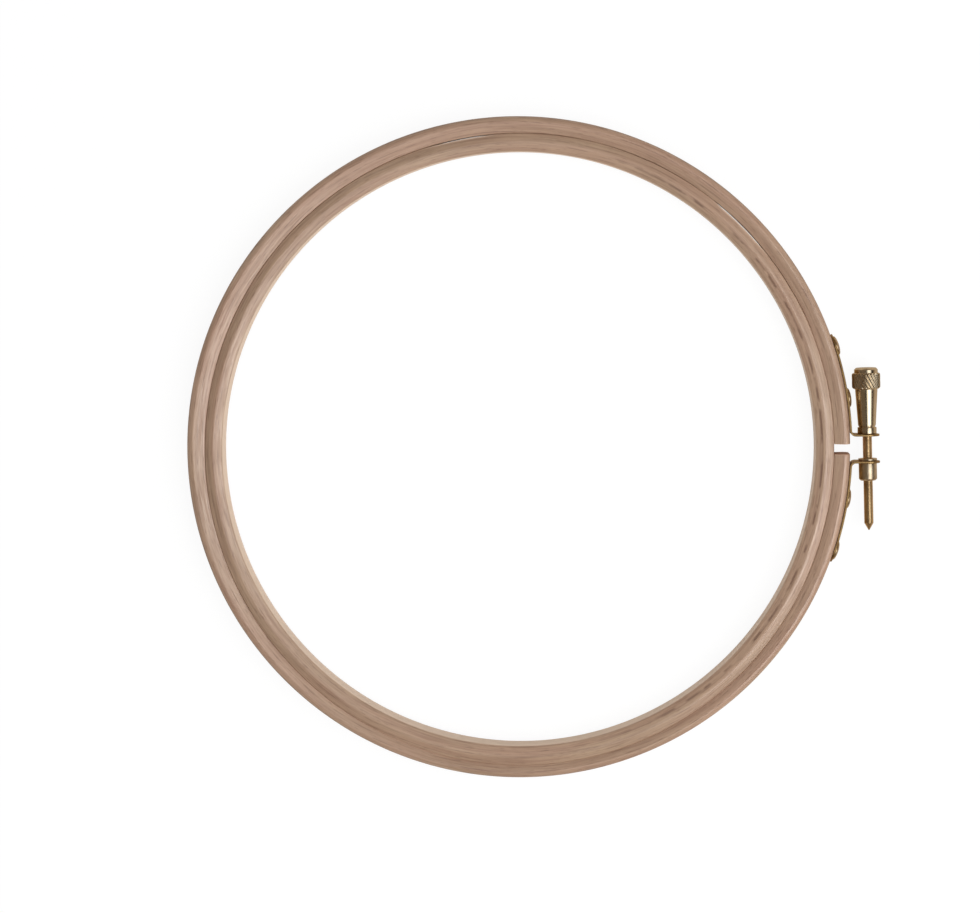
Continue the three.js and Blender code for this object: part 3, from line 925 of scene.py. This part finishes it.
class HOOP_OT_rod(bpy.types.Operator):
    """Add the threaded rod"""

    bl_idname = "hoop.rod"
    bl_label = "Threaded Rod"

    def execute(self, context):
        sizes = context.scene.hoop_brass
        pitch = sizes.pitch / MM
        depth = sizes.thread_depth / MM
        shoulder = ROD_POINT + 2.2
        # the thread ends inside the collar
        bare = COLLAR_SEAT + 1.0
        corners = [
            (0, ROD_POINT),
            (0.15, ROD_POINT),
            (ROD_RADIUS, shoulder),
            (ROD_RADIUS, ROD_TOP),
            (0, ROD_TOP),
        ]
        profile = spread(np.array(corners), pitch / 8, ROD_POINT, bare)

        def thread(radius, angle, height):
            """A right-hand thread: the radius less a cosine wave of height / pitch - turns."""
            wave = (1 - np.cos(TURN * height / pitch - angle)) / 2
            return np.minimum(radius, ROD_RADIUS - depth * wave * (height < bare))

        surface = turned(profile, 32, SCREW, ALONG_SCREW, UP, relief=thread)
        # a cut thread, which spreads the highlight into a soft line along the rod
        # its colour, sizes.threaded, is partly painted shade of the thread grooves
        material = brass(
            "threaded_rod_brass",
            sizes.threaded,
            sizes.tarnish,
            roughness=0.33,
            marks=0.2,
            axis=(0, 1, 0),
            origin=SCREW,
            covered=0.45,
        )
        add_piece("threaded_rod", surface, material, "screw_brass", "clamp_screw", "screw_rod")
        return {"FINISHED"}


class HOOP_OT_bush(bpy.types.Operator):
    """Add the bush in the lower lug"""

    bl_idname = "hoop.bush"
    bl_label = "Threaded Bush"

    def execute(self, context):
        sizes = context.scene.hoop_brass
        # it leans with the screw, so both faces on the lug keep off it by what the lean takes
        tilt = 2.8 * abs(ALONG_SCREW[0]) + 0.02
        body_top = -LUG_INNER - sizes.sheet / MM - tilt
        flange_low = -LUG_INNER + tilt
        flange_top = flange_low + 0.6
        bore = ROD_RADIUS + ROD_CLEARANCE
        end_radius = 2.25
        body_radius = 2.725
        neck_radius = 2.1
        flange_radius = 2.82
        corners = [
            (bore, BUSH_END),
            (end_radius, BUSH_END),
            (body_radius, BUSH_END + 0.5),
            (body_radius, body_top),
            (neck_radius, body_top),
            (neck_radius, flange_low),
            (flange_radius, flange_low),
            (flange_radius, flange_top),
            (bore, flange_top),
        ]
        profile = rounded(corners, 0.16, loop=True)
        surface = turned(profile, 64, SCREW, ALONG_SCREW, UP, loop=True)
        # turned like the knob, but nothing rubs it, so its highlight is softer under more film
        material = brass(
            "turned_bush_brass",
            sizes.turned,
            sizes.tarnish,
            roughness=0.33,
            marks=0.12,
            axis=(0, 1, 0),
            origin=SCREW,
            covered=0.45,
        )
        add_piece("screw_bush", surface, material, "screw_brass", "lower_half", "threaded_bush")
        return {"FINISHED"}


def hang(thing, elevation):
    """Hangs a lamp 1.2 m from the rings' centre and aims it there.

    It hangs at an elevation in degrees above the floor, 20 degrees from +X towards -Y.
    """
    azimuth = math.radians(-20)
    rise = math.radians(elevation)
    level = math.cos(rise)
    toward = Vector((math.cos(azimuth) * level, math.sin(azimuth) * level, math.sin(rise)))
    thing.location = Vector(RING_CENTRE * MM) + toward * 1.2
    thing.rotation_mode = "QUATERNION"
    thing.rotation_quaternion = (-toward).to_track_quat("-Z", "Y")


class HOOP_OT_stage(bpy.types.Operator):
    """Add the floor, the softbox, the room's light and the camera"""

    bl_idname = "hoop.stage"
    bl_label = "Stage"

    def execute(self, context):
        settings = context.scene.hoop_stage
        scene = context.scene
        scene.view_settings.view_transform = "Standard"
        square = np.array([(-1, -1, 0), (1, -1, 0), (1, 1, 0), (-1, 1, 0)])

        # white for the camera, a warm grey in reflections, and matt for the light it throws back
        material, tree = empty_material("white_paper")
        path = add_node(tree, "ShaderNodeLightPath").outputs
        rays = {0: path["Is Camera Ray"], 1: path["Is Glossy Ray"]}
        seen = add_node(tree, "ShaderNodeMath", rays, operation="MAXIMUM")
        rays = {0: seen, 1: path["Is Transmission Ray"]}
        seen = add_node(tree, "ShaderNodeMath", rays, operation="MAXIMUM")
        share = add_node(tree, "ShaderNodeMath", {0: seen, 1: 0.9}, operation="MULTIPLY")
        tint = {0: path["Is Glossy Ray"], 6: (1, 1, 1, 1), 7: (0.46, 0.36, 0.25, 1)}
        tint = add_node(tree, "ShaderNodeMix", tint, data_type="RGBA").outputs[2]
        matt = add_node(tree, "ShaderNodeBsdfDiffuse", {"Color": (0.9, 0.9, 0.9, 1)})
        white = add_node(tree, "ShaderNodeEmission", {"Color": tint, "Strength": 1.02})
        mixed = add_node(tree, "ShaderNodeMixShader", {0: share, 1: matt, 2: white})
        add_node(tree, "ShaderNodeOutputMaterial", {0: mixed})
        mesh = bpy.data.meshes.new("floor")
        mesh.from_pydata(square * 4.0, [], [(0, 1, 2, 3)])
        mesh.materials.append(material)
        floor = bpy.data.objects.new("floor", mesh)
        scene.collection.objects.link(floor)

        # a white room for the camera, which lights matt surfaces evenly
        world = bpy.data.worlds.new("studio")
        world.use_nodes = True
        scene.world = world
        tree = world.node_tree
        tree.nodes.clear()
        path = add_node(tree, "ShaderNodeLightPath").outputs
        rays = {0: path["Is Glossy Ray"], 1: path["Is Transmission Ray"]}
        seen = add_node(tree, "ShaderNodeMath", rays, operation="MAXIMUM")
        # metal sees a warm dim room, a little dimmer overhead than at the horizon
        direction = add_node(tree, "ShaderNodeTexCoord").outputs["Generated"]
        direction = add_node(tree, "ShaderNodeSeparateXYZ", {0: direction})
        dim = {0: direction.outputs["Z"], 1: 0.0, 2: 0.35, 3: 0.25, 4: 0.14}
        dim = add_node(tree, "ShaderNodeMapRange", dim, interpolation_type="SMOOTHSTEP")
        level = add_node(tree, "ShaderNodeMix", {0: seen, 2: settings.fill, 3: dim})
        level = add_node(tree, "ShaderNodeMix", {0: path["Is Camera Ray"], 2: level, 3: 1.0})
        tint = {0: seen, 6: (1, 1, 1, 1), 7: (1, 0.76, 0.54, 1)}
        tint = add_node(tree, "ShaderNodeMix", tint, data_type="RGBA").outputs[2]
        background = add_node(tree, "ShaderNodeBackground", {"Color": tint, "Strength": level})
        add_node(tree, "ShaderNodeOutputWorld", {0: background})

        softbox = bpy.data.lights.new("softbox", "AREA")
        softbox.shape = "SQUARE"
        softbox.size = 0.92
        softbox.energy = settings.key
        lamp = bpy.data.objects.new("softbox", softbox)
        lamp.visible_glossy = False
        hang(lamp, 60)
        scene.collection.objects.link(lamp)

        # what polished surfaces mirror of it: a sheet of 1.7 x 1.7 m, whose glow falls with the
        # square of the distance from its middle, to nothing 0.58 m away
        material, tree = empty_material("softbox_cloth")
        place = add_node(tree, "ShaderNodeTexCoord").outputs["Object"]
        away = add_node(tree, "ShaderNodeVectorMath", {0: place, 1: place}, operation="DOT_PRODUCT")
        glow = {0: away.outputs["Value"], 1: 0.0, 2: 0.34, 3: settings.gleam, 4: 0.0}
        glow = add_node(tree, "ShaderNodeMapRange", glow)
        cloth = add_node(tree, "ShaderNodeEmission", {"Strength": glow})
        add_node(tree, "ShaderNodeOutputMaterial", {0: cloth})
        mesh = bpy.data.meshes.new("softbox_cloth")
        mesh.from_pydata(square * 0.85, [], [(3, 2, 1, 0)])
        mesh.materials.append(material)
        sheet = bpy.data.objects.new("softbox_cloth", mesh)
        hang(sheet, 57)
        sheet.visible_camera = sheet.visible_diffuse = sheet.visible_transmission = False
        sheet.visible_shadow = False
        scene.collection.objects.link(sheet)

        # the lens, the aim and the roll bring the rings to where the photo has them
        camera_data = bpy.data.cameras.new("camera")
        camera_data.sensor_width = 36
        camera_data.lens = 112.75
        camera_data.clip_start = 0.01
        camera_data.clip_end = 50
        camera = bpy.data.objects.new("camera", camera_data)
        scene.collection.objects.link(camera)
        centre_x = RING_CENTRE[0] * MM
        spot = Vector((centre_x + settings.camera_east, settings.camera_north, settings.camera_height))
        aim = Vector((centre_x - 8.1 * MM, -1.9 * MM, RING_HEIGHT * MM))
        roll = math.radians(0.33)
        back = (spot - aim).normalized()
        right = Vector((math.sin(roll), math.cos(roll), 0)).cross(back).normalized()
        axes = Matrix((right, back.cross(right), back)).transposed()
        camera.matrix_world = Matrix.Translation(spot) @ axes.to_4x4()
        scene.camera = camera
        return {"FINISHED"}


class HOOP_PT_panel(bpy.types.Panel):
    """Buttons and sizes of the hoop"""

    bl_idname = "HOOP_PT_panel"
    bl_label = "Embroidery Hoop"
    bl_space_type = "VIEW_3D"
    bl_region_type = "UI"
    bl_category = "Hoop"

    def draw(self, context):
        layout = self.layout
        for group in (context.scene.hoop_wood, context.scene.hoop_brass, context.scene.hoop_stage):
            box = layout.box()
            for name in group.__annotations__:
                box.prop(group, name)
        for step in STEPS:
            layout.operator(step.bl_idname)


GROUPS = {"hoop_wood": HoopWood, "hoop_brass": HoopBrass, "hoop_stage": HoopStage}
STEPS = (
    HOOP_OT_stage,
    HOOP_OT_outer_ring,
    HOOP_OT_inner_ring,
    HOOP_OT_straps,
    HOOP_OT_rivets,
    HOOP_OT_knob,
    HOOP_OT_rod,
    HOOP_OT_bush,
)


def register():
    for kind in (*GROUPS.values(), *STEPS, HOOP_PT_panel):
        bpy.utils.register_class(kind)
    for name, kind in GROUPS.items():
        setattr(bpy.types.Scene, name, PointerProperty(type=kind))


def unregister():
    for name in GROUPS:
        delattr(bpy.types.Scene, name)
    for kind in reversed((*GROUPS.values(), *STEPS, HOOP_PT_panel)):
        bpy.utils.unregister_class(kind)


def main():
    register()
    bpy.ops.hoop.stage()
    bpy.ops.hoop.outer_ring()
    bpy.ops.hoop.inner_ring()
    bpy.ops.hoop.straps()
    bpy.ops.hoop.rivets()
    bpy.ops.hoop.knob()
    bpy.ops.hoop.rod()
    bpy.ops.hoop.bush()


if __name__ == "__main__":
    main()
